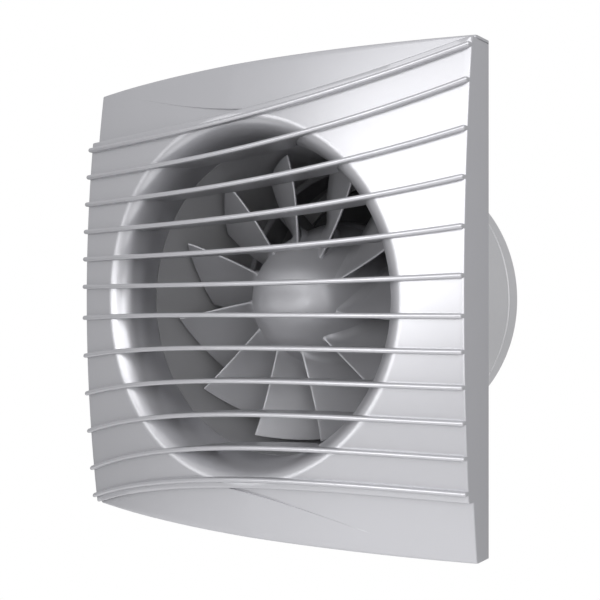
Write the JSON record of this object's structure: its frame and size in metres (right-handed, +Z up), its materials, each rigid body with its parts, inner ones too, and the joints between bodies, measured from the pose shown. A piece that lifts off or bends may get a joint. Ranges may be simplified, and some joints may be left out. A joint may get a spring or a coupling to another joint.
{
  "type": "bathroom extractor fan",
  "caption": "Square wall-mounted extractor fan with a crowned, louvred clip-on cover, axial impeller on a duct tube and a butterfly back-draught valve.",
  "frame": {"origin": "on the fan's axis, in the plane of the wall behind the cover", "axes": "+X right seen from the front, +Y into the wall along the duct, +Z up"},
  "size_m": [0.18, 0.129, 0.18],
  "materials": {
    "silver_plastic": "silver-grey pearl, semi-gloss",
    "blade_plastic": "silver-grey, satin",
    "grey_plastic": "fine moulded grain",
    "charcoal_plastic": "smooth, matt",
    "white_nylon": "natural, satin",
    "winding_tape": "yellow polyester tape",
    "black_rubber": "matt",
    "steel": "bright zinc plated",
    "lamination_steel": "stacked sheets, dull",
    "cast_aluminium": "as cast",
    "brass": "turned"
  },
  "bodies": {
    "housing": {"wall_plate": "silver_plastic", "duct_tube": "silver_plastic", "motor_holder": "grey_plastic", "motor_cover": "grey_plastic", "valve_collar": "silver_plastic", "stator_laminations": "lamination_steel", "coil_bobbin": "white_nylon", "coil_winding": "winding_tape", "front_bracket": "cast_aluminium", "rear_bracket": "cast_aluminium", "front_bearing": "steel", "rear_bearing": "steel", "motor_bolt_1": "steel", "motor_bolt_2": "steel", "motor_cover_screw_1": "steel", "motor_cover_screw_2": "steel", "terminal_block": "white_nylon", "terminal_screw_1": "steel", "terminal_screw_2": "steel", "terminal_screw_3": "steel", "cable_grommet": "black_rubber", "cable_clamp": "white_nylon", "cable_clamp_screw_1": "steel", "cable_clamp_screw_2": "steel", "valve_pin": "steel"},
    "cover": {"front_cover": "silver_plastic", "louvre_01": "silver_plastic", "louvre_02": "silver_plastic", "louvre_03": "silver_plastic", "louvre_04": "silver_plastic", "louvre_05": "silver_plastic", "louvre_06": "silver_plastic", "louvre_07": "silver_plastic", "louvre_08": "silver_plastic", "louvre_09": "silver_plastic", "louvre_10": "silver_plastic", "louvre_11": "silver_plastic", "louvre_12": "silver_plastic"},
    "rotor": {"impeller": "blade_plastic", "hub_bush": "brass", "motor_shaft": "steel", "rotor_core": "lamination_steel", "rotor_ring_front": "cast_aluminium", "rotor_ring_rear": "cast_aluminium"},
    "flap_right": {"valve_flap_right": "charcoal_plastic", "valve_spring_right": "steel"},
    "flap_left": {"valve_flap_left": "charcoal_plastic", "valve_spring_left": "steel"}
  },
  "joints": [
    {"name": "cover_pull", "type": "slide", "parent": "housing", "child": "cover", "axis": [0, -1, 0], "range_m": [0, 0.04]},
    {"name": "impeller_spin", "type": "hinge", "parent": "housing", "child": "rotor", "pos_m": [0, 0.06, 0], "axis": [0, 1, 0], "continuous": true},
    {"name": "flap_right_hinge", "type": "hinge", "parent": "housing", "child": "flap_right", "pos_m": [0, 0.088, 0], "axis": [0, 0, 1], "range_deg": [0, 78], "stiffness_Nm_per_rad": 0.001, "springref_deg": -11.46},
    {"name": "flap_left_hinge", "type": "hinge", "parent": "housing", "child": "flap_left", "pos_m": [0, 0.088, 0], "axis": [0, 0, -1], "range_deg": [0, 78], "stiffness_Nm_per_rad": 0.001, "springref_deg": -11.46}
  ]
}
